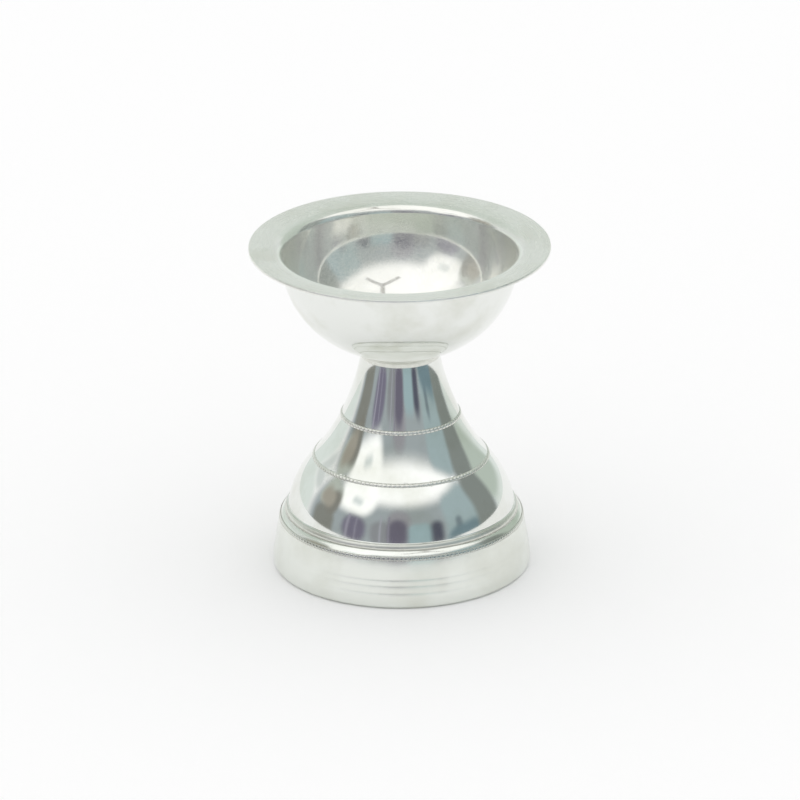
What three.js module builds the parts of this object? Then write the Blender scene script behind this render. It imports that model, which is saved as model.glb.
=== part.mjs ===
// A silver diya: a small oil lamp whose round bowl is soldered to the top of a hollow stand.
// The stand is spun in three parts, a foot, a bell and a stem, and beaded wire runs round it.
// Units are millimetres and +Z is up. The origin is the middle of the ring that the lamp stands on.
import * as THREE from "three";

// Sheet, solder and the fit between parts
const sheet = 0.45; // thickness of the spun silver
const solder_gap = 0.05; // film of solder between two parts
const solder_leg = 0.5; // reach of a solder fillet along each face
const tight_bend = 0.2; // inside radius of the sharpest bend that the sheet takes

// Foot, the lowest part: a ring to stand on, a wall that tapers upwards, and a ledge on top
const foot_radius = 17.1; // outside, at the upright hem
const foot_height = 8.05; // to the top of the ledge
const foot_flare = 0.165; // growth in radius for each unit down, above the hem
const hem_height = 1.6; // from the floor to where the wall starts to slant
const shoulder_bend = 1.8; // outside radius between the wall and the ledge
const rest_width = 1.4; // flat ring that stands on the floor
const ledge_reach = 0.7; // how far the ledge shows inside the bell

// Bell, which stands on the ledge
const bell_radius = 15.05; // outside of its wall, at the bottom
const bell_flare = 0.2; // growth in radius for each unit down, there
const bell_height = 7.3; // from the ledge to the seam with the stem
const lip_width = 0.22; // turned out round the bottom to be soldered down
const lip_bend = 0.15; // outside radius between the wall and the lip

// Seam, where the bell and the stem meet edge to edge
const seam_radius = 11.6; // outside
const seam_flare = 0.87; // growth in radius for each unit down

// Stem, which flares like a trumpet and is closed on top
const stem_height = 14.65; // from the seam to the flat top
const neck_radius = 5.18; // outside, where the sides would meet the flat top
const neck_flare = 0.2; // growth in radius for each unit down

// Bowl
const bowl_height = 14.85; // from its flat bottom to the edge of the brim
const bowl_flat_radius = 4.2; // flat middle that rests on the stem
const bowl_flat_rise = 0.27; // growth in height for each unit outwards, beside the flat
const bowl_radius = 15.91; // outside, where its wall starts to bend to the brim
const bowl_flare = 0.088; // growth in radius for each unit up, there
const brim_width = 4.09; // from there to the edge
const brim_tilt = 6.5; // degrees that the brim rises towards its edge
const brim_bend = 0.8; // outside radius between the wall and the brim
const edge_ease = 0.12; // rounding of the cut edge

// Beaded wire, flat behind
const bead_pitch = 0.66;
const bead_width = 0.58; // across the wire
const bead_proud = 0.13; // top of a bead above the sheet
const bead_dip = 0.08; // wire between two beads, above the sheet
const upper_wire_height = 5.95; // above the seam
const lower_wire_lean = 20; // degrees that the shoulder leans where the lower wire lies

// Fineness of the model
const turn_steps = 48;
const bowl_steps = 8;
const stand_steps = 7;
const bend_steps = 3;
const shoulder_steps = 5;
const solder_steps = 2;

// Heights where the parts stand on each other
const bell_base = foot_height + solder_gap;
const seam_height = bell_base + bell_height;
const stem_base = seam_height + solder_gap;
const bowl_base = stem_base + stem_height + solder_gap;

const at = (radius, height) => new THREE.Vector2(radius, height);

// Degrees that a wall with this flare leans.
const lean_of = (flare) => THREE.MathUtils.radToDeg(Math.atan(flare));

// Points of an arc round a centre, from one angle in degrees to another.
function arc(centre, radius, from, to, steps = bend_steps) {
  return Array.from({ length: steps + 1 }, (_, i) => {
    const angle = THREE.MathUtils.degToRad(from + ((to - from) * i) / steps);
    return at(centre.x + radius * Math.cos(angle), centre.y + radius * Math.sin(angle));
  });
}

// The middle of the bend between a wall that narrows upwards and a flat top. The two would meet in
// the corner.
function bend_middle(corner, flare, bend) {
  return at(corner.x + bend * (flare - Math.hypot(1, flare)), corner.y - bend);
}

// A curve between two points that leaves and arrives along the lines to its two handles.
function sweep(start, first_handle, second_handle, end, steps = stand_steps) {
  return new THREE.CubicBezierCurve(start, first_handle, second_handle, end).getPoints(steps);
}

// The other face of the sheet: the outline moved to its left by the thickness, corner by corner.
function other_face(outline) {
  return outline.map((point, i) => {
    const before = point.clone().sub(outline[Math.max(i - 1, 0)]).normalize();
    const after = outline[Math.min(i + 1, outline.length - 1)].clone().sub(point).normalize();
    const along = before.clone().add(after).normalize();
    const squareness = Math.max(along.dot(before), along.dot(after));
    return at(point.x - (along.y * sheet) / squareness, point.y + (along.x * sheet) / squareness);
  });
}

// Revolves a closed outline round the axis. It starts and ends on the axis, or at one point.
function revolve(name, outline, material) {
  const geometry = new THREE.LatheGeometry(outline, turn_steps);
  geometry.rotateX(Math.PI / 2);
  const mesh = new THREE.Mesh(geometry, material);
  mesh.name = name;
  return mesh;
}

const silver = new THREE.MeshStandardMaterial({ color: 0xdfe3dd, roughness: 0.08, metalness: 1 });
const wire_silver = new THREE.MeshStandardMaterial({ color: 0xe4e7e4, roughness: 0.2, metalness: 1 });
const solder = new THREE.MeshStandardMaterial({ color: 0xc3c5bd, roughness: 0.35, metalness: 1 });

// The round shoulder of the foot, which carries the lowest wire, turns round this point.
const foot_corner = at(foot_radius - (foot_height - hem_height) * foot_flare, foot_height);
const shoulder_centre = bend_middle(foot_corner, foot_flare, shoulder_bend);
const ledge_hole_radius = bell_radius - sheet - ledge_reach;

function foot() {
  const hem_bend = tight_bend + sheet;
  const hem_centre = at(foot_radius - hem_bend, hem_bend);
  const outline = [
    at(hem_centre.x - rest_width, 0),
    ...arc(hem_centre, hem_bend, -90, 0),
    at(foot_radius, hem_height),
    ...arc(shoulder_centre, shoulder_bend, lean_of(foot_flare), 90, shoulder_steps),
    at(ledge_hole_radius, foot_height),
  ];
  return revolve("foot", [...outline, ...other_face(outline).reverse(), outline[0]], silver);
}

// Both parts are cut level at the seam, so the slanting sheet is wider there than it is thick.
const seam_slant = Math.hypot(1, seam_flare);
const seam_inner_radius = seam_radius - sheet * seam_slant;

// The bend between the bell's wall and its lip turns round this point, up to this angle.
const lip_centre = at(
  bell_radius + lip_bend / Math.hypot(1, bell_flare),
  bell_base + sheet + lip_bend,
);
const lip_end_angle = 180 + lean_of(bell_flare);

function bell() {
  const lip = arc(lip_centre, lip_bend, 270, lip_end_angle, solder_steps);
  const wall_foot = lip[solder_steps];
  const seam = at(seam_radius, seam_height);
  const foot_handle_share = 0.31;
  const seam_handle_share = 0.335;
  const foot_handle = bell_height * foot_handle_share;
  const seam_handle = bell_height * seam_handle_share;
  const outline = [
    at(bell_radius + lip_width, bell_base + sheet),
    ...lip,
    ...sweep(
      wall_foot,
      at(wall_foot.x - foot_handle * bell_flare, wall_foot.y + foot_handle),
      at(seam.x + seam_handle * seam_flare, seam.y - seam_handle),
      seam,
    ).slice(1),
  ];
  const inside = other_face(outline);
  inside[inside.length - 1] = at(seam_inner_radius, seam_height);
  return revolve("bell", [...outline, ...inside.reverse(), outline[0]], silver);
}

// The outside of the stem, from the seam to the round of its closed top.
const neck_bend = tight_bend + sheet;
const neck_lean = lean_of(neck_flare);
const neck_corner = at(neck_radius, stem_base + stem_height);
const neck_centre = bend_middle(neck_corner, neck_flare, neck_bend);

function stem_side() {
  const handle_share = 0.27;
  const handle = stem_height * handle_share;
  const [neck] = arc(neck_centre, neck_bend, neck_lean, 90);
  return sweep(
    at(seam_radius, stem_base),
    at(seam_radius - handle * seam_flare, stem_base + handle),
    at(neck.x + handle * neck_flare, neck.y - handle),
    neck,
  );
}

function stem() {
  const outline = [
    ...stem_side(),
    ...arc(neck_centre, neck_bend, neck_lean, 90).slice(1),
    at(0, neck_corner.y),
  ];
  const inside = other_face(outline);
  inside[0] = at(seam_inner_radius, stem_base);
  return revolve("stem", [...inside.reverse(), ...outline], silver);
}

// The bend between the bowl's wall and its brim: the cut edge and the bend's middle, underneath.
const brim_slope = Math.tan(THREE.MathUtils.degToRad(brim_tilt));
const brim_slant = Math.hypot(1, brim_slope);
const bowl_slant = Math.hypot(1, bowl_flare);
const brim_radius = bowl_radius + brim_width;
const brim_top = bowl_base + bowl_height;
const brim_edge = at(brim_radius - edge_ease, brim_top - sheet / brim_slant);
const brim_bend_radius = bowl_radius + brim_bend / bowl_slant;
const brim_bend_height =
  brim_edge.y - (brim_edge.x - brim_bend_radius) * brim_slope - brim_bend * brim_slant;

// The underside of the bowl, from its flat bottom to that bend.
function bowl_side() {
  const bottom = at(bowl_flat_radius, bowl_base);
  const top = at(bowl_radius, brim_bend_height + (brim_bend * bowl_flare) / bowl_slant);
  const bottom_handle_share = 0.345;
  const top_handle_share = 0.685;
  const bottom_handle = (top.x - bottom.x) * bottom_handle_share;
  const top_handle = (top.y - bottom.y) * top_handle_share;
  return sweep(
    bottom,
    at(bottom.x + bottom_handle, bottom.y + bottom_handle * bowl_flat_rise),
    at(top.x - top_handle * bowl_flare, top.y - top_handle),
    top,
    bowl_steps,
  );
}

function bowl() {
  const bend_centre = at(brim_bend_radius, brim_bend_height);
  const bend = arc(bend_centre, brim_bend, 180 - lean_of(bowl_flare), 90 + brim_tilt).slice(1);
  const outline = [at(0, bowl_base), ...bowl_side(), ...bend, brim_edge];
  const edge_middle = at(brim_radius, brim_top - sheet / 2);
  return revolve("bowl", [...outline, edge_middle, ...other_face(outline).reverse()], silver);
}

// The height of the bowl's underside at a radius, read from its outline.
function bowl_underside_at(radius) {
  const side = bowl_side();
  const beyond = side.findIndex((point) => point.x > radius);
  const [near, far] = [side[beyond - 1], side[beyond]];
  return near.y + ((radius - near.x) * (far.y - near.y)) / (far.x - near.x);
}

// Solder that shows as a hollow fillet round the joint between the stem's top and the bowl.
function bowl_solder() {
  const tip = at(neck_centre.x, neck_corner.y + solder_gap / 2);
  const bend = neck_bend + solder_gap * 2;
  const stem_face = arc(neck_centre, bend, 90, neck_lean, solder_steps).slice(1);
  const foot_of_stem_face = stem_face[stem_face.length - 1];
  const below = at(foot_of_stem_face.x + solder_leg * neck_flare, foot_of_stem_face.y - solder_leg);
  const bowl_face = [neck_radius + solder_leg, neck_radius].map((radius) =>
    at(radius, bowl_underside_at(radius) - solder_gap),
  );
  const hollow_share = 0.35;
  const waist = below.clone().lerp(bowl_face[0], 1 / 2).lerp(neck_corner, hollow_share);
  return revolve("bowl_solder", [tip, ...stem_face, below, waist, ...bowl_face, tip], solder);
}

// Solder run along the inside of the seam, low and rounded.
function stem_solder() {
  const along = at(-seam_flare, 1).divideScalar(seam_slant);
  const inward = at(-1, -seam_flare).divideScalar(seam_slant);
  const middle = at(seam_inner_radius, seam_height + solder_gap / 2);
  const place = (length, depth) =>
    middle.clone().addScaledVector(along, length).addScaledVector(inward, depth);
  const crown = solder_leg / 2;
  const outline = [
    place(-solder_leg, solder_gap),
    place(solder_leg, solder_gap),
    place(crown, crown),
    place(-crown, crown),
  ];
  return revolve("stem_solder", [...outline, outline[0]], solder);
}

// Solder in the corner between the ledge and the round inside of the bell's lip.
function bell_solder() {
  const ledge = foot_height + solder_gap;
  const bend = lip_bend + sheet + solder_gap * 2;
  const tip_angle = 180 + THREE.MathUtils.radToDeg(Math.asin((lip_centre.y - ledge) / bend));
  const bell_face = arc(lip_centre, bend, tip_angle, lip_end_angle, solder_steps);
  const top = bell_face[solder_steps];
  const outline = [at(top.x - solder_leg / 2, ledge), ...bell_face];
  return revolve("bell_solder", [...outline, outline[0]], solder);
}

// A ring of beaded wire on a wall that narrows upwards by flare. Every second step round it is a
// bead, and the steps between are the thin wire. Each step has a foot, a crest and a head.
function beaded_wire(name, radius, height, flare) {
  const slant = Math.hypot(1, flare);
  const up = at(-flare, 1).divideScalar(slant);
  const out = at(1, flare).divideScalar(slant);
  const seat = at(radius, height);
  const steps = 2 * Math.round((2 * Math.PI * radius) / bead_pitch);
  const half_width_shares = [1, 0.7];
  const crests = [bead_proud, bead_dip];
  const positions = [];
  const corners = [];
  for (let step = 0; step < steps; step++) {
    const angle = (2 * Math.PI * step) / steps;
    const half_width = (bead_width / 2) * half_width_shares[step % 2];
    const section = [
      [-half_width, solder_gap],
      [0, crests[step % 2]],
      [half_width, solder_gap],
    ];
    for (const [along, depth] of section) {
      const point = seat.clone().addScaledVector(up, along).addScaledVector(out, depth);
      positions.push(point.x * Math.cos(angle), point.x * Math.sin(angle), point.y);
    }
    for (let side = 0; side < section.length; side++) {
      const next_side = (side + 1) % section.length;
      const next_step = (step + 1) % steps;
      const a = step * section.length + side;
      const b = next_step * section.length + side;
      const c = next_step * section.length + next_side;
      const d = step * section.length + next_side;
      corners.push(a, b, c, a, c, d);
    }
  }
  const geometry = new THREE.BufferGeometry();
  geometry.setAttribute("position", new THREE.Float32BufferAttribute(positions, 3));
  geometry.setIndex(corners);
  geometry.computeVertexNormals();
  const mesh = new THREE.Mesh(geometry, wire_silver);
  mesh.name = name;
  return mesh;
}

// The stem's radius and flare at a height, read from its outline.
function stem_wall_at(height) {
  const side = stem_side();
  const above = side.findIndex((point) => point.y > height);
  const [low, high] = [side[above - 1], side[above]];
  const flare = (low.x - high.x) / (high.y - low.y);
  return { radius: low.x - (height - low.y) * flare, flare };
}

function upper_beaded_wire() {
  const height = seam_height + upper_wire_height;
  const wall = stem_wall_at(height);
  return beaded_wire("upper_beaded_wire", wall.radius, height, wall.flare);
}

function middle_beaded_wire() {
  return beaded_wire("middle_beaded_wire", seam_radius, seam_height + solder_gap / 2, seam_flare);
}

function lower_beaded_wire() {
  const [seat] = arc(shoulder_centre, shoulder_bend, lower_wire_lean, 90);
  const flare = Math.tan(THREE.MathUtils.degToRad(lower_wire_lean));
  return beaded_wire("lower_beaded_wire", seat.x, seat.y, flare);
}

const diya = new THREE.Group();
diya.add(
  foot(),
  lower_beaded_wire(),
  bell_solder(),
  bell(),
  stem_solder(),
  middle_beaded_wire(),
  stem(),
  upper_beaded_wire(),
  bowl_solder(),
  bowl(),
);

export default diya;
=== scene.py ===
import math

import bmesh
import bpy
from mathutils import Matrix, Vector, noise
from mathutils.geometry import interpolate_bezier


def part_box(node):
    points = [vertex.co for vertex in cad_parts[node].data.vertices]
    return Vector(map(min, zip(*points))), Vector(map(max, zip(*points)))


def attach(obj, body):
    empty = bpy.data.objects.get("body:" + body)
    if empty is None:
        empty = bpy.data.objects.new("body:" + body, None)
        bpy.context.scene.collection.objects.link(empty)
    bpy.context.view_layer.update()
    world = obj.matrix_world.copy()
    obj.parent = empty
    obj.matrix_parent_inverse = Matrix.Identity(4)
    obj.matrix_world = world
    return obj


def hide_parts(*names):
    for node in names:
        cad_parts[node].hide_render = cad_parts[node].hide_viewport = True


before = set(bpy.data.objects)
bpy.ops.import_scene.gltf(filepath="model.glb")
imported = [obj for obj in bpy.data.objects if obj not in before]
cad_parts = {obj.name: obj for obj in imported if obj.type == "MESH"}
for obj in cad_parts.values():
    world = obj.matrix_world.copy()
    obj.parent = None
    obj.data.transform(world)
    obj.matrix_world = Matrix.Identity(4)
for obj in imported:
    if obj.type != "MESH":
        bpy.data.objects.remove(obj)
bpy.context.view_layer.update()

# Camera. It stands well back with a long lens and looks down on the lamp, at the angle at which
# the brim and the foot show as the ovals that they are in the photograph.
mm = 0.001
view_distance = 1400 * mm
view_elevation = math.radians(22.1)
view_roll = math.radians(0.4)
view_target = Vector((-0.09 * mm, 0, 22.95 * mm))
view_reach = 10000 * mm
lens_millimetres = 474.6
camera_data = bpy.data.cameras.new("camera")
camera_data.lens = lens_millimetres
camera_data.clip_end = view_reach
camera = bpy.data.objects.new("camera", camera_data)
bpy.context.collection.objects.link(camera)
bpy.context.scene.camera = camera
view_direction = Vector((0, -math.cos(view_elevation), math.sin(view_elevation)))
looking = view_direction.to_track_quat("Z", "Y").to_matrix().to_4x4()
camera.matrix_world = (
    Matrix.Translation(view_target + view_direction * view_distance)
    @ looking
    @ Matrix.Rotation(-view_roll, 4, "Z")
)


# Studio. A sheet of white paper on a white floor, a plain white background, and soft light from
# all round. Gloss sees the sheet and not the floor past it.
floor_half_width = 2000 * mm
paper_radius = 250 * mm
paper_thickness = 0.1 * mm
paper_steps = 96
paper_colour = "#e6e6e4"
plain_white = "#ffffff"
paper_roughness = 0.9

# Places of the two colours and the result among a colour Mix node's sockets.
mix_first = 6
mix_second = 7
mix_result = 2


def linear(hex_colour):
    """An sRGB hex colour as the linear red, green and blue that a shader takes, with an alpha of 1."""
    shares = [int(hex_colour[i : i + 2], 16) / 255 for i in (1, 3, 5)]
    return [s / 12.92 if s <= 0.04045 else ((s + 0.055) / 1.055) ** 2.4 for s in shares] + [1]


def add_node(tree, kind, settings=(), inputs=(), links=()):
    """Adds a shader node, sets its properties and inputs, and links (output socket, input name) pairs."""
    node = tree.nodes.new(kind)
    for name, value in dict(settings).items():
        setattr(node, name, value)
    for name, value in dict(inputs).items():
        node.inputs[name].default_value = value
    for source, name in links:
        tree.links.new(source, node.inputs[name])
    return node


def new_object(name, mesh, *materials):
    """Makes an object of a finished bmesh."""
    data = bpy.data.meshes.new(name)
    mesh.to_mesh(data)
    mesh.free()
    for material in materials:
        data.materials.append(material)
    made = bpy.data.objects.new(name, data)
    bpy.context.collection.objects.link(made)
    return made


world = bpy.data.worlds.new("studio")
bpy.context.scene.world = world
world.use_nodes = True
world.node_tree.nodes["Background"].inputs["Color"].default_value = linear(plain_white)
bpy.context.scene.view_settings.view_transform = "Standard"
bpy.context.scene.cycles.max_bounces = 16
bpy.context.scene.cycles.glossy_bounces = 14

floor_material = bpy.data.materials.new("white paper")
floor_material.use_nodes = True
shader = floor_material.node_tree.nodes["Principled BSDF"]
shader.inputs["Roughness"].default_value = paper_roughness
light_path = add_node(floor_material.node_tree, "ShaderNodeLightPath")
seen = add_node(
    floor_material.node_tree,
    "ShaderNodeMath",
    {"operation": "MAXIMUM"},
    links=[(light_path.outputs["Is Camera Ray"], 0), (light_path.outputs["Is Glossy Ray"], 1)],
)
seen = add_node(
    floor_material.node_tree,
    "ShaderNodeMath",
    {"operation": "MAXIMUM"},
    links=[(seen.outputs[0], 0), (light_path.outputs["Is Transmission Ray"], 1)],
)
paper = add_node(
    floor_material.node_tree,
    "ShaderNodeMix",
    {"data_type": "RGBA"},
    links=[(seen.outputs[0], "Factor")],
)
paper.inputs[mix_first].default_value = linear(paper_colour)
paper.inputs[mix_second].default_value = linear(plain_white)
floor_material.node_tree.links.new(paper.outputs[mix_result], shader.inputs["Base Color"])

floor_mesh = bmesh.new()
bmesh.ops.create_grid(floor_mesh, x_segments=1, y_segments=1, size=floor_half_width)
bmesh.ops.translate(floor_mesh, verts=floor_mesh.verts, vec=(0, 0, -paper_thickness))
floor = new_object("floor", floor_mesh, floor_material)
floor.visible_glossy = False
sheet_mesh = bmesh.new()
bmesh.ops.create_circle(sheet_mesh, cap_ends=True, segments=paper_steps, radius=paper_radius)
new_object("paper_sheet", sheet_mesh, floor_material)


# Cards. Polished silver shows the room rather than itself, so large cards stand round the lamp
# for it to show. Only gloss sees them. Each is a rounded patch of a wide dome, one just inside
# the other, and its edges fade out.
card_distance = 1200 * mm
card_spacing = 10 * mm
card_columns = 72
card_rows = 24
rounding_share = 2
cards = [
    # name, from and to round the lamp in degrees (0 is the camera's side, 90 the right), from and
    # to above the floor in degrees, colour, strength, width of the faded edge in degrees
    ("ceiling", -200, 200, 38, 100, "#ffffff", 1.2, 12),
    ("back ceiling", 98, 262, 29, 84, "#c7d0ca", 1, 8),
    ("back wall high", 108, 252, 24, 36, "#c8d3cc", 1, 6),
    ("back wall", 108, 252, 14, 28, "#d9dedd", 1, 5),
    ("back wall low", 108, 252, -9, 19, "#e5ece9", 1, 6),
    ("front wall", -114, 120, -30, 47, "#a6aeb2", 1, 13),
    ("window", -90, -27, 19, 64, "#ffffff", 1.25, 11),
    ("window pane", -66, -46, 31, 44, "#d9e0e1", 1.1, 7),
    ("left high", -106, -74, 13, 40, "#c0c6bf", 1, 5),
    ("left fold", -104, -70, -30, 21, "#8b8c87", 1, 7),
    ("left frame", -94, -71, 9, 37, "#8a8983", 1, 6),
    ("left box", -105, -78, 13, 34, "#aaa59b", 1, 7),
    ("left violet", -67, -33, -8, 27, "#7d798c", 1, 8),
    ("left slit", -60, -55, -8, 24, "#a19eae", 1, 2),
    ("left slit 2", -50, -46, -8, 22, "#9693a4", 1, 2),
    ("front pale", 3, 35, -8, 23, "#a3b9bf", 1, 6),
    ("front plain", -20, 14, 10, 41, "#a09fa6", 1, 9),
    ("front left", -36, -6, -8, 27, "#93959a", 1, 8),
    ("front dark", -18, 10, -8, 30, "#726e7e", 1, 8),
    ("front slit", -24, -20, -8, 30, "#a9abb4", 1, 2),
    ("front slit 2", -15, -12, -8, 30, "#8f8c9a", 1, 1),
    ("right dark", 26, 47, -8, 24, "#5c5e6c", 1, 8),
    ("right teal", 43, 93, -30, 46, "#a7b8bc", 1, 8),
    ("right slit", 55, 67, -30, 20, "#7f8c94", 1, 5),
    ("right low", 43, 92, -30, 12, "#798e97", 1, 8),
    ("right wall", 106, 156, 0, 52, "#bec9c0", 1, 8),
    ("right fold", 80, 117, -30, 46, "#8a908d", 1, 8),
]


def glowing(name, colour, strength=1):
    """A material that only gives off an even light."""
    material = bpy.data.materials.new(name)
    material.use_nodes = True
    material.cycles.emission_sampling = "NONE"
    tree = material.node_tree
    tree.nodes.remove(tree.nodes["Principled BSDF"])
    glow = add_node(tree, "ShaderNodeEmission", inputs={"Color": linear(colour), "Strength": strength})
    tree.links.new(glow.outputs[0], tree.nodes["Material Output"].inputs["Surface"])
    return material


for layer, (name, turn_from, turn_to, low, high, colour, strength, softness) in enumerate(cards):
    card_material = glowing(f"card {name}", colour, strength)
    tree = card_material.node_tree
    glow = tree.nodes["Emission"]
    clear = add_node(tree, "ShaderNodeBsdfTransparent")
    opaque = add_node(tree, "ShaderNodeAttribute", {"attribute_name": "opaque share"})
    card_shader = add_node(
        tree,
        "ShaderNodeMixShader",
        links=[(opaque.outputs["Fac"], 0), (clear.outputs[0], 1), (glow.outputs[0], 2)],
    )
    tree.links.new(card_shader.outputs[0], tree.nodes["Material Output"].inputs["Surface"])
    radius = card_distance - layer * card_spacing
    half_turn = (turn_to - turn_from) / 2
    half_rise = (high - low) / 2
    rounding = min(softness * rounding_share, half_turn, half_rise)
    mesh = bmesh.new()
    opaque_share = mesh.verts.layers.float.new("opaque share")
    bmesh.ops.create_grid(mesh, x_segments=card_columns, y_segments=card_rows, size=1)
    for vert in mesh.verts:
        turn = turn_from + half_turn * (vert.co.x + 1)
        rise = low + half_rise * (vert.co.y + 1)
        across = half_turn * abs(vert.co.x) - half_turn + rounding
        upright = half_rise * abs(vert.co.y) - half_rise + rounding
        past = Vector((max(across, 0), max(upright, 0))).length + min(max(across, upright), 0)
        inside_share = min(max((rounding - past) / softness, 0), 1)
        vert[opaque_share] = inside_share**2 * (3 - 2 * inside_share)
        turning = Matrix.Rotation(math.radians(turn), 3, "Z")
        raising = Matrix.Rotation(math.radians(-rise), 3, "X")
        vert.co = turning @ raising @ Vector((0, -radius, 0))
    card = new_object(f"card {name}".replace(" ", "_"), mesh, card_material)
    card.visible_camera = False
    card.visible_diffuse = False


# Ceiling fan. Flat blades on a round hub hang under the ceiling, nearer than the cards, for the
# inside of the bowl to show. Only gloss sees it.
fan_height = 700 * mm
fan_place_shares = (0.27, -0.35, 1)
fan_place = Vector(fan_place_shares) * fan_height
fan_turn = math.radians(-19)
hub_radius = 30 * mm
blade_length = 250 * mm
blade_width = 44 * mm
blade_count = 3
hub_steps = 24

fan_mesh = bmesh.new()
hub = Matrix.Translation(fan_place)
bmesh.ops.create_circle(fan_mesh, cap_ends=True, segments=hub_steps, radius=hub_radius, matrix=hub)
for blade in range(blade_count):
    turned = Matrix.Rotation(fan_turn + math.tau * blade / blade_count, 4, "Z")
    outward = Matrix.Translation((blade_length / 2, 0, 0))
    shape = Matrix.Diagonal((blade_length / 2, blade_width / 2, 1, 1))
    bmesh.ops.create_grid(
        fan_mesh, x_segments=1, y_segments=1, size=1, matrix=hub @ turned @ outward @ shape
    )
fan_material = glowing("ceiling fan", "#8c8883")
fan = new_object("ceiling_fan", fan_mesh, fan_material)
fan.visible_camera = False
fan.visible_diffuse = False


# Foot. It is spun from sterling silver sheet: a ring turned in to stand on, an upright hem, a wall
# that narrows upwards, and a ledge turned in on top, which the bell stands on. Three faint lines
# are turned round its wall, which is left less polished than the rest.
sheet = 0.45 * mm
turn_steps = 256
bend_steps = 12
edge_ease = 0.12 * mm
sharp_turn = math.radians(60)
weld = 0.001 * mm

# The buff's marks are drawn coarser than they are, to show. They have their full length at
# usual_radius, and get shorter towards the axis.
mark_width = 0.16 * mm
mark_length = 8 * mm
mark_depth = 0.0003 * mm
mark_gloss_share = 0.4
least_gloss_share = 0.8
usual_radius = 14 * mm
scratch_width = 0.05 * mm
scratch_shares = (0.5, 0.54)
dent_width = 5 * mm
dent_depth = 0.012 * mm
tarnish_width = 9 * mm
tarnish_shares = (0.45, 0.8)
tarnish_roughness = 0.06


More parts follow.
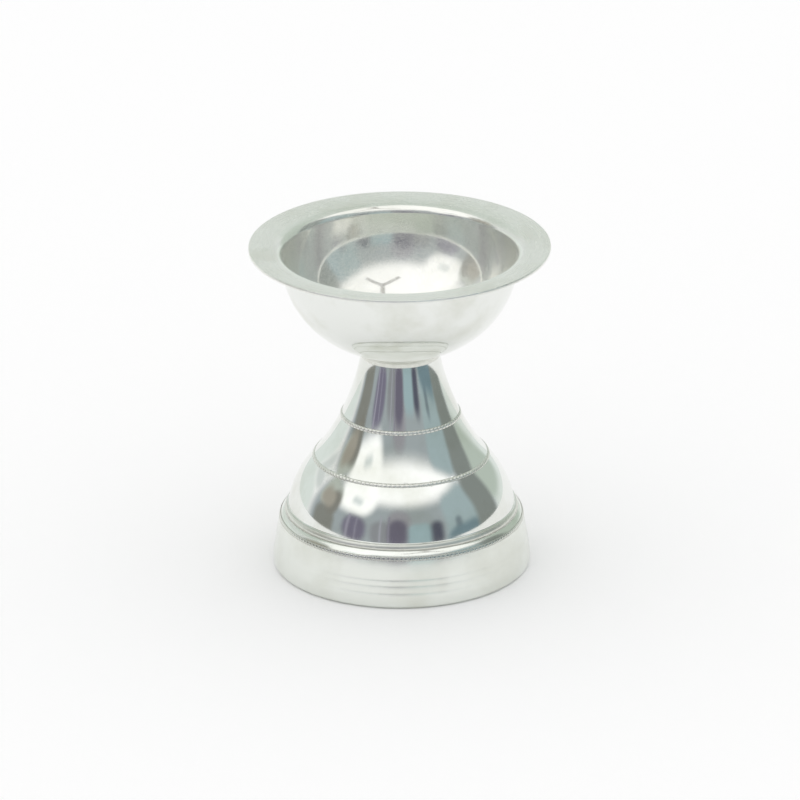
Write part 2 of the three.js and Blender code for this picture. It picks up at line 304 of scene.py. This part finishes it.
def spun_silver(
    name, roughness, satin_roughness=None, satin_from=0, haze=0, colour="#eceeea", dull="#d3d5ca"
):
    """Sterling silver, spun on a lathe and buffed. It gives the eye a bright, nearly white mirror
    that bends its surroundings into bands. The buff leaves fine marks that run round, the spinner's
    tool leaves shallow waves, and the air dulls it a little in places. Where satin_roughness is
    given, the sheet further out than the radius satin_from keeps a satin face. haze is the
    roughness that the finest scratches add."""
    material = bpy.data.materials.new(name)
    material.use_nodes = True
    tree = material.node_tree
    shader = tree.nodes["Principled BSDF"]
    shader.inputs["Metallic"].default_value = 1
    place = add_node(tree, "ShaderNodeTexCoord")
    height = add_node(tree, "ShaderNodeSeparateXYZ", links=[(place.outputs["Object"], 0)])
    level = add_node(
        tree,
        "ShaderNodeVectorMath",
        {"operation": "MULTIPLY"},
        {1: (1, 1, 0)},
        [(place.outputs["Object"], 0)],
    )
    radius = add_node(tree, "ShaderNodeVectorMath", {"operation": "LENGTH"}, links=[(level.outputs[0], 0)])
    outward = add_node(
        tree, "ShaderNodeVectorMath", {"operation": "NORMALIZE"}, links=[(level.outputs[0], 0)]
    )
    # The marks are noise over radius, height and direction, and the direction is drawn out.
    drawn_out = add_node(
        tree,
        "ShaderNodeVectorMath",
        {"operation": "SCALE"},
        {"Scale": usual_radius * mark_width / mark_length},
        [(outward.outputs[0], 0)],
    )
    direction = add_node(tree, "ShaderNodeSeparateXYZ", links=[(drawn_out.outputs[0], 0)])
    across = add_node(
        tree,
        "ShaderNodeCombineXYZ",
        links=[(radius.outputs["Value"], "X"), (height.outputs["Z"], "Y"), (direction.outputs["X"], "Z")],
    )
    marks = add_node(
        tree,
        "ShaderNodeTexNoise",
        {"noise_dimensions": "4D"},
        {"Scale": 1 / mark_width, "Detail": 3},
        [(across.outputs[0], "Vector"), (direction.outputs["Y"], "W")],
    )
    dents = add_node(
        tree,
        "ShaderNodeTexNoise",
        inputs={"Scale": 1 / dent_width, "Detail": 1},
        links=[(place.outputs["Object"], "Vector")],
    )
    tarnish = add_node(
        tree,
        "ShaderNodeTexNoise",
        inputs={"Scale": 1 / tarnish_width, "Detail": 4, "Roughness": 0.6},
        links=[(place.outputs["Object"], "Vector")],
    )
    dulled = add_node(
        tree,
        "ShaderNodeMapRange",
        inputs={"From Min": tarnish_shares[0], "From Max": tarnish_shares[1]},
        links=[(tarnish.outputs["Fac"], "Value")],
    )
    tint = add_node(
        tree, "ShaderNodeMix", {"data_type": "RGBA"}, links=[(dulled.outputs[0], "Factor")]
    )
    tint.inputs[mix_first].default_value = linear(colour)
    tint.inputs[mix_second].default_value = linear(dull)
    tree.links.new(tint.outputs[mix_result], shader.inputs["Base Color"])
    finish = add_node(
        tree,
        "ShaderNodeMapRange",
        inputs={
            "From Min": satin_from - sheet / 2,
            "From Max": satin_from + sheet / 2,
            "To Min": roughness,
            "To Max": roughness if satin_roughness is None else satin_roughness,
        },
        links=[(radius.outputs["Value"], "Value")],
    )
    unevenness = add_node(
        tree,
        "ShaderNodeMath",
        {"operation": "MULTIPLY_ADD"},
        {1: mark_gloss_share, 2: least_gloss_share},
        [(marks.outputs["Fac"], 0)],
    )
    gloss = add_node(
        tree,
        "ShaderNodeMath",
        {"operation": "MULTIPLY"},
        links=[(finish.outputs[0], 0), (unevenness.outputs[0], 1)],
    )
    gloss = add_node(
        tree,
        "ShaderNodeMath",
        {"operation": "MULTIPLY_ADD"},
        {1: tarnish_roughness},
        [(dulled.outputs[0], 0), (gloss.outputs[0], 2)],
    )
    scratches = add_node(
        tree,
        "ShaderNodeTexNoise",
        inputs={"Scale": 1 / scratch_width, "Detail": 1},
        links=[(place.outputs["Object"], "Vector")],
    )
    hazed = add_node(
        tree,
        "ShaderNodeMapRange",
        inputs={"From Min": scratch_shares[0], "From Max": scratch_shares[1], "To Max": haze},
        links=[(scratches.outputs["Fac"], "Value")],
    )
    gloss = add_node(
        tree,
        "ShaderNodeMath",
        {"operation": "ADD"},
        links=[(gloss.outputs[0], 0), (hazed.outputs[0], 1)],
    )
    tree.links.new(gloss.outputs[0], shader.inputs["Roughness"])
    relief = add_node(
        tree,
        "ShaderNodeMath",
        {"operation": "MULTIPLY"},
        {1: dent_depth},
        [(dents.outputs["Fac"], 0)],
    )
    relief = add_node(
        tree,
        "ShaderNodeMath",
        {"operation": "MULTIPLY_ADD"},
        {1: mark_depth},
        [(marks.outputs["Fac"], 0), (relief.outputs[0], 2)],
    )
    bump = add_node(
        tree,
        "ShaderNodeBump",
        inputs={"Strength": 1, "Distance": 1},
        links=[(relief.outputs[0], "Height")],
    )
    tree.links.new(bump.outputs[0], shader.inputs["Normal"])
    return material


satin_silver = spun_silver("satin sterling silver", roughness=0.15, colour="#eaede7", dull="#d8dad0")
unbuffed_silver = spun_silver(
    "unbuffed sterling silver", roughness=0.34, colour="#cdd0c8", dull="#b2b2a4"
)


def spin_round(mesh, count=turn_steps):
    """Spins all that is in the bmesh round the lamp's axis, and welds where it closes."""
    bmesh.ops.spin(
        mesh,
        geom=mesh.verts[:] + mesh.edges[:],
        cent=(0, 0, 0),
        axis=(0, 0, 1),
        angle=math.tau,
        steps=count,
        use_merge=True,
    )
    bmesh.ops.remove_doubles(mesh, verts=mesh.verts, dist=weld)
    bmesh.ops.recalc_face_normals(mesh, faces=mesh.faces)


def wire_outline(outline, bends=(), closed=False):
    """A bmesh of one line through (radius, height) points. bends is a list of (index of a point,
    radius of the bend there)."""
    mesh = bmesh.new()
    corners = [mesh.verts.new((radius, 0, height)) for radius, height in outline]
    for pair in zip(corners, corners[1:]):
        mesh.edges.new(pair)
    if closed:
        mesh.edges.new((corners[-1], corners[0]))
    turns = [
        (corners[i].co - corners[i - 1].co).angle(corners[i + 1].co - corners[i].co) for i, _ in bends
    ]
    for (index, radius), turn in zip(bends, turns):
        bmesh.ops.bevel(
            mesh,
            geom=[corners[index]],
            offset=radius * math.tan(turn / 2),
            segments=bend_steps,
            profile=0.5,
            affect="VERTICES",
            material=-1,
        )
    return mesh


def spun_shell(name, outline, bends, outside, inside, level_cut=None, ease=edge_ease):
    """Spins an outline of the outer face into a shell of silver sheet. level_cut is (height, 1 to
    keep what is above or -1 to keep what is below), where an end is filed level."""
    mesh = wire_outline(outline, bends)
    spin_round(mesh)
    outermost = max(mesh.faces, key=lambda face: face.calc_center_median().xy.length)
    if outermost.normal.xy.dot(outermost.calc_center_median().xy) < 0:
        bmesh.ops.reverse_faces(mesh, faces=mesh.faces)
    outer_faces = set(mesh.faces)
    bmesh.ops.solidify(mesh, geom=mesh.faces[:], thickness=sheet)
    for face in mesh.faces:
        face.material_index = 0 if face in outer_faces else 1
    if level_cut:
        height, side = level_cut
        bmesh.ops.bisect_plane(
            mesh,
            geom=mesh.verts[:] + mesh.edges[:] + mesh.faces[:],
            plane_co=(0, 0, height),
            plane_no=(0, 0, -side),
            clear_outer=True,
        )
        bmesh.ops.bridge_loops(mesh, edges=[edge for edge in mesh.edges if edge.is_boundary])
    cut_edges = [edge for edge in mesh.edges if edge.calc_face_angle(0) > sharp_turn]
    bmesh.ops.bevel(
        mesh,
        geom=cut_edges,
        offset=ease,
        segments=3,
        profile=0.5,
        affect="EDGES",
        material=-1,
    )
    for face in mesh.faces:
        face.smooth = True
    return new_object(name, mesh, outside, inside)


foot_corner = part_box("foot")[1]
foot_radius = foot_corner[0]
foot_height = foot_corner[2]
hem_height = 1.6 * mm
foot_flare = 0.165
shoulder_bend = 1.8 * mm
tight_bend = 0.65 * mm
easy_bend = 3 * mm
rest_width = 1.4 * mm
ledge_hole_radius = 13.9 * mm
line_heights = [2.3 * mm, 3.3 * mm, 4.1 * mm]
line_width = 0.36 * mm
line_depth = 0.012 * mm


def foot_wall_at(height):
    return foot_radius - foot_flare * (height - hem_height)


foot_outline = [(foot_radius - tight_bend - rest_width, 0), (foot_radius, 0), (foot_radius, hem_height)]
for height in line_heights:
    foot_outline += [
        (foot_wall_at(height - line_width / 2), height - line_width / 2),
        (foot_wall_at(height) - line_depth, height),
        (foot_wall_at(height + line_width / 2), height + line_width / 2),
    ]
foot_outline += [(foot_wall_at(foot_height), foot_height), (ledge_hole_radius, foot_height)]
foot_bends = [(1, tight_bend), (2, easy_bend), (len(foot_outline) - 2, shoulder_bend)]
foot = spun_shell("spun_foot", foot_outline, foot_bends, satin_silver, unbuffed_silver)
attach(foot, "root")
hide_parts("foot")


# Lowest line of beads, soldered round the foot where its shoulder starts. It is drawn silver wire
# rolled between milling wheels into a row of low round beads, worn nearly smooth.
solder_gap = 0.05 * mm
bead_pitch = 0.62 * mm
bead_width = 0.58 * mm
bead_rise = 0.1 * mm
worn_bead_rise = 0.05 * mm
bead_sink = 0.1 * mm
wire_rise = 0.03 * mm
wire_seat = 0.01 * mm
crest_share = 0.4
along_share = 0.72
across_share = 0.58
lower_wire_lean = math.radians(20)


def milled_wire_silver(name, colour, roughness, unevenness, patch_colour="#d5d6cd"):
    """Silver wire, drawn, rolled between milling wheels and worn. It gives the eye a bright grain
    with a dull line in each hollow. unevenness is the share by which the roughness goes up and
    down."""
    material = bpy.data.materials.new(name)
    material.use_nodes = True
    tree = material.node_tree
    shader = tree.nodes["Principled BSDF"]
    shader.inputs["Metallic"].default_value = 1
    place = add_node(tree, "ShaderNodeTexCoord")
    scratches = add_node(
        tree,
        "ShaderNodeTexNoise",
        inputs={"Scale": 1 / scratch_width, "Detail": 2},
        links=[(place.outputs["Object"], "Vector")],
    )
    patches = add_node(
        tree,
        "ShaderNodeTexNoise",
        inputs={"Scale": 1 / bead_width, "Detail": 2},
        links=[(place.outputs["Object"], "Vector")],
    )
    tint = add_node(
        tree, "ShaderNodeMix", {"data_type": "RGBA"}, links=[(patches.outputs["Fac"], "Factor")]
    )
    tint.inputs[mix_first].default_value = linear(colour)
    tint.inputs[mix_second].default_value = linear(patch_colour)
    tree.links.new(tint.outputs[mix_result], shader.inputs["Base Color"])
    gloss = add_node(
        tree,
        "ShaderNodeMapRange",
        inputs={"To Min": roughness * (1 - unevenness), "To Max": roughness * (1 + unevenness)},
        links=[(scratches.outputs["Fac"], "Value")],
    )
    tree.links.new(gloss.outputs[0], shader.inputs["Roughness"])
    bump = add_node(
        tree,
        "ShaderNodeBump",
        inputs={"Strength": 1, "Distance": mark_depth},
        links=[(scratches.outputs["Fac"], "Height")],
    )
    tree.links.new(bump.outputs[0], shader.inputs["Normal"])
    return material


bead_silver = milled_wire_silver(
    "milled silver bead wire", "#f8f7f2", roughness=0.32, unevenness=0.3
)
worn_bead_silver = milled_wire_silver(
    "worn silver bead wire", "#e2e4e0", roughness=0.14, unevenness=0.4
)
hollow_silver = milled_wire_silver(
    "dulled silver between beads", "#e0e1da", roughness=0.42, unevenness=0.3
)


def beaded_wire(name, radius, height, flare, silver=bead_silver, rise=bead_rise):
    """A flat-backed wire with a row of low beads on it, on a wall that grows by flare going down."""
    slant = math.hypot(1, flare)
    up = Vector((-flare, 0, 1)) / slant
    out = Vector((1, 0, flare)) / slant
    seat = Vector((radius, 0, height))
    section = [
        seat + up * bead_width / 2 + out * wire_seat,
        seat + up * bead_width * crest_share + out * wire_rise,
        seat - up * bead_width * crest_share + out * wire_rise,
        seat - up * bead_width / 2 + out * wire_seat,
    ]
    mesh = wire_outline([(point.x, point.z) for point in section], closed=True)
    spin_round(mesh)
    for face in mesh.faces:
        face.material_index = 1
    count = round(math.tau * radius / bead_pitch)
    half_size = (rise + bead_sink, bead_pitch * along_share, bead_width * across_share, 1)
    turned = Matrix((out, Vector((0, 1, 0)), up)).transposed().to_4x4()
    placed = Matrix.Translation(seat - out * bead_sink) @ turned @ Matrix.Diagonal(half_size)
    bead = bmesh.ops.create_uvsphere(mesh, u_segments=12, v_segments=8, radius=1, matrix=placed)
    bead_faces = {face for vert in bead["verts"] for face in vert.link_faces}
    bead_edges = {edge for vert in bead["verts"] for edge in vert.link_edges}
    kept = bmesh.ops.bisect_plane(
        mesh,
        geom=[*bead["verts"], *bead_edges, *bead_faces],
        plane_co=seat,
        plane_no=out,
        clear_inner=True,
    )
    bmesh.ops.spin(
        mesh,
        geom=[part for part in kept["geom"] if isinstance(part, bmesh.types.BMFace)],
        cent=(0, 0, 0),
        axis=(0, 0, 1),
        angle=math.tau * (count - 1) / count,
        steps=count - 1,
        use_duplicate=True,
    )
    for face in mesh.faces:
        face.smooth = True
    made = new_object(name, mesh, silver, hollow_silver)
    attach(made, "root")
    return made


shoulder_radius = foot_wall_at(foot_height) + shoulder_bend * (foot_flare - math.hypot(1, foot_flare))
lower_wire = beaded_wire(
    "foot_bead_wire",
    shoulder_radius + shoulder_bend * math.cos(lower_wire_lean),
    foot_height - shoulder_bend * (1 - math.sin(lower_wire_lean)),
    math.tan(lower_wire_lean),
    worn_bead_silver,
    worn_bead_rise,
)
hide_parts("lower_beaded_wire")


# Bell. A domed shell of spun silver sheet, whose lip is turned out at the bottom to be soldered
# down on the foot's ledge. Its top edge is filed level to meet the stem.
bell_low, bell_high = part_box("bell")
bell_base = bell_low[2]
seam_height = bell_high[2]
bell_radius = 15.05 * mm
bell_flare = 0.2
lip_bend = 0.15 * mm
lip_ease = 0.05 * mm
seam_radius = 11.6 * mm
seam_flare = 0.87
level_overrun = 0.5 * mm
foot_handle_share = 0.31
seam_handle_share = 0.335
bell_steps = 28
clearance = 0.01 * mm
polished_silver = spun_silver("polished sterling silver", roughness=0.065)


def curve(start, first_handle, second_handle, end, count):
    """Points of (radius, height) along a curve that leaves and arrives along its handles."""
    points = [Vector((x, z, 0)) for x, z in (start, first_handle, second_handle, end)]
    return [(point.x, point.y) for point in interpolate_bezier(*points, count)]


lip_top = bell_base + sheet
wall_foot = lip_top + lip_bend * (1 - bell_flare) + clearance
bell_height = seam_height - bell_base
foot_handle = bell_height * foot_handle_share
seam_handle = bell_height * seam_handle_share
bell_outline = [
    (bell_high[0], lip_top),
    (bell_radius + (wall_foot - lip_top) * bell_flare, lip_top),
    *curve(
        (bell_radius, wall_foot),
        (bell_radius - foot_handle * bell_flare, wall_foot + foot_handle),
        (seam_radius + seam_handle * seam_flare, seam_height - seam_handle),
        (seam_radius, seam_height),
        bell_steps,
    ),
    (seam_radius - level_overrun * seam_flare, seam_height + level_overrun),
]
bell = spun_shell(
    "spun_bell",
    bell_outline,
    [(1, lip_bend)],
    polished_silver,
    unbuffed_silver,
    level_cut=(seam_height, -1),
    ease=lip_ease,
)
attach(bell, "root")
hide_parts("bell")


# Solder under the bell. Hard silver solder, run into the corner between the foot's ledge and the
# inside of the bell's lip and left as it set, uneven and a little grey.
solder_leg = 0.5 * mm
solder_lump = 1.5 * mm
solder_unevenness = 0.03 * mm
solder_silver = milled_wire_silver("set silver solder", "#ecede6", roughness=0.36, unevenness=0.3)


def solder_ring(name, outline, bends=()):
    """A ring of solder. Its face is uneven, because it sets as it ran."""
    mesh = wire_outline(outline, bends, closed=True)
    spin_round(mesh)
    middle = sum((Vector(point) for point in outline), Vector((0, 0))) / len(outline)
    for vert in mesh.verts:
        out = Vector((vert.co.x, vert.co.y, 0)).normalized()
        centre = out * middle.x + Vector((0, 0, middle.y))
        shrink = (noise.noise(vert.co / solder_lump) + 1) / 2
        vert.co += (centre - vert.co).normalized() * solder_unevenness * shrink
    for face in mesh.faces:
        face.smooth = True
    made = new_object(name, mesh, solder_silver)
    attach(made, "root")
    return made


solder_low, solder_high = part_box("bell_solder")
bell_solder_outline = [
    (solder_high[0] - solder_leg * 1.15, solder_low[2]),
    (solder_high[0], solder_low[2]),
    (solder_high[0] - solder_leg * 0.42, solder_low[2] + solder_leg * 0.36),
    (solder_high[0] - solder_leg * 0.65, solder_high[2]),
    (solder_high[0] - solder_leg * 0.8, solder_low[2] + solder_leg * 0.4),
]
bell_solder = solder_ring("bell_solder_fillet", bell_solder_outline)
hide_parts("bell_solder")


# Solder outside the bell. The same solder, drawn out under the lip's edge as a thin pale run that
# fills the crevice above the foot's shoulder.
lip_edge = bell_high[0]
run_edge_share = 0.6
run_edge = lip_edge + solder_leg * run_edge_share


def shoulder_at(radius):
    """Height of the foot's rounded shoulder at a radius."""
    return foot_height - shoulder_bend + math.sqrt(shoulder_bend**2 - (radius - shoulder_radius) ** 2)


lip_solder_outline = [
    (lip_edge - solder_leg, foot_height - solder_gap),
    (run_edge, shoulder_at(run_edge) - solder_gap),
    (lip_edge + solder_leg * 0.32, bell_base - solder_leg * 0.12),
    (lip_edge + solder_leg * 0.12, bell_base + sheet * 0.75),
    (lip_edge - solder_leg * 0.1, bell_base + sheet * 0.85),
    (lip_edge - solder_leg, bell_base + solder_gap),
]
solder_ring("lip_solder_run", lip_solder_outline)


# Stem. Spun silver sheet, flared like a trumpet and closed with a flat top that carries the bowl.
# Its bottom edge is filed level and meets the bell edge to edge.
stem_low, stem_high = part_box("stem")
stem_base = stem_low[2]
stem_top = stem_high[2]
neck_radius = 5.18 * mm
neck_flare = 0.17
neck_foot_drop = 0.53 * mm
stem_steps = 40
stem_handle_share = 0.27
stem_handle = (stem_top - stem_base) * stem_handle_share
neck_foot = (neck_radius + neck_foot_drop * neck_flare, stem_top - neck_foot_drop)
stem_side = curve(
    (seam_radius, stem_base),
    (seam_radius - stem_handle * seam_flare, stem_base + stem_handle),
    (neck_foot[0] + stem_handle * neck_flare, neck_foot[1] - stem_handle),
    neck_foot,
    stem_steps,
)
stem_outline = [
    (seam_radius + level_overrun * seam_flare, stem_base - level_overrun),
    *stem_side,
    (neck_radius, stem_top),
    (0, stem_top),
]
stem = spun_shell(
    "spun_stem",
    stem_outline,
    [(len(stem_outline) - 2, tight_bend)],
    polished_silver,
    unbuffed_silver,
    level_cut=(stem_base, 1),
)
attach(stem, "root")
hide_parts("stem")


# Lines of beads round the stem. One covers the seam between stem and bell, and the other lies
# higher up. Both are the same milled silver wire as on the foot, less worn, and soldered on.
seam_middle = (seam_height + stem_base) / 2
middle_wire = beaded_wire("seam_bead_wire", seam_radius, seam_middle, seam_flare)
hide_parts("middle_beaded_wire")

upper_wire_rise = 5.95 * mm
upper_height = seam_height + upper_wire_rise
above = next(i for i, (_, height) in enumerate(stem_side) if height > upper_height)
(low_radius, low_height), (high_radius, high_height) = stem_side[above - 1], stem_side[above]
stem_flare = (low_radius - high_radius) / (high_height - low_height)
upper_radius = low_radius - (upper_height - low_height) * stem_flare
upper_wire = beaded_wire("stem_bead_wire", upper_radius, upper_height, stem_flare)
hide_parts("upper_beaded_wire")


# Solder inside the seam. A low, rounded run of hard silver solder round the inside of the joint
# between bell and stem, which the beads hide from outside.
seam_slant = math.hypot(1, seam_flare)
seam_inside = Vector((seam_radius - sheet * seam_slant, seam_middle))
seam_along = Vector((-seam_flare, 1)) / seam_slant
seam_inward = Vector((-1, -seam_flare)) / seam_slant
crown = solder_leg / 2
stem_solder_outline = [
    tuple(seam_inside + seam_along * along + seam_inward * depth)
    for along, depth in ((-solder_leg, solder_gap), (solder_leg, solder_gap), (crown, crown), (-crown, crown))
]
stem_solder = solder_ring("stem_solder_run", stem_solder_outline)
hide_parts("stem_solder")


# Bowl. Spun silver sheet with a flat bottom, a round well, and a wide brim that rises a little to
# its rounded edge. The well is buffed, less well inside, and the brim keeps a satin face.
bowl_low, bowl_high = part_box("bowl")
bowl_base = bowl_low[2]
brim_top = bowl_high[2]
brim_radius = bowl_high[0]
bowl_flat_radius = 4.2 * mm
bowl_flat_rise = 0.27
bowl_radius = 15.91 * mm
bowl_flare = 0.088
brim_lean = math.radians(6.5)
brim_bend = 0.8 * mm
flat_bend = 1 * mm
satin_from = 16.7 * mm
bottom_handle_share = 0.345
top_handle_share = 0.685
bowl_steps = 48
brim_turn = math.pi / 2 - math.atan(bowl_flare) - brim_lean
bend_reach = brim_bend * math.tan(brim_turn / 2) + clearance
brim_edge_height = brim_top - sheet / math.cos(brim_lean)
brim_corner_radius = bowl_radius + bend_reach * bowl_flare
brim_corner_height = brim_edge_height - (brim_radius - brim_corner_radius) * math.tan(brim_lean)
wall_top = brim_corner_height - bend_reach
bottom_handle = (bowl_radius - bowl_flat_radius) * bottom_handle_share
top_handle = (wall_top - bowl_base) * top_handle_share
bowl_outline = [
    (0, bowl_base),
    *curve(
        (bowl_flat_radius, bowl_base),
        (bowl_flat_radius + bottom_handle, bowl_base + bottom_handle * bowl_flat_rise),
        (bowl_radius - top_handle * bowl_flare, wall_top - top_handle),
        (bowl_radius, wall_top),
        bowl_steps,
    ),
    (brim_corner_radius, brim_corner_height),
    (brim_radius, brim_edge_height),
]
bowl_outside = spun_silver(
    "polished silver, bowl outside", roughness=0.065, satin_roughness=0.22, satin_from=satin_from
)
bowl_inside = spun_silver(
    "buffed silver, bowl inside",
    roughness=0.07,
    satin_roughness=0.26,
    satin_from=satin_from,
    haze=0.38,
    colour="#f7f7f2",
    dull="#eaeae1",
)
bowl = spun_shell(
    "spun_bowl",
    bowl_outline,
    [(1, flat_bend), (len(bowl_outline) - 2, brim_bend)],
    bowl_outside,
    bowl_inside,
)
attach(bowl, "root")
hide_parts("bowl")


# Solder under the bowl. A hollow fillet of hard silver solder, run round the joint between the
# stem's top and the bowl, and dressed flush with the neck. It shows as a fine grey line.
fillet_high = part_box("bowl_solder")[1]
fillet_steps = 8
foot_drop_share = 1.5
waist_share = 0.12
fillet_foot = stem_top - solder_leg * foot_drop_share
fillet_foot_radius = neck_radius + (stem_top - fillet_foot) * neck_flare - solder_gap / 2
fillet_waist = neck_radius + solder_leg * waist_share
bowl_solder_outline = [
    (neck_radius - solder_leg * 0.6, stem_top - solder_leg),
    *curve(
        (fillet_foot_radius, fillet_foot),
        (fillet_waist, stem_top - solder_leg * 0.6),
        (fillet_waist, stem_top + solder_leg * 0.3),
        (fillet_high[0] + solder_gap, fillet_high[2] + solder_gap),
        fillet_steps,
    ),
    (neck_radius, fillet_high[2] + solder_gap),
    (neck_radius - tight_bend, stem_top + solder_gap / 2),
]
bowl_solder = solder_ring("bowl_solder_fillet", bowl_solder_outline)
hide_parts("bowl_solder")
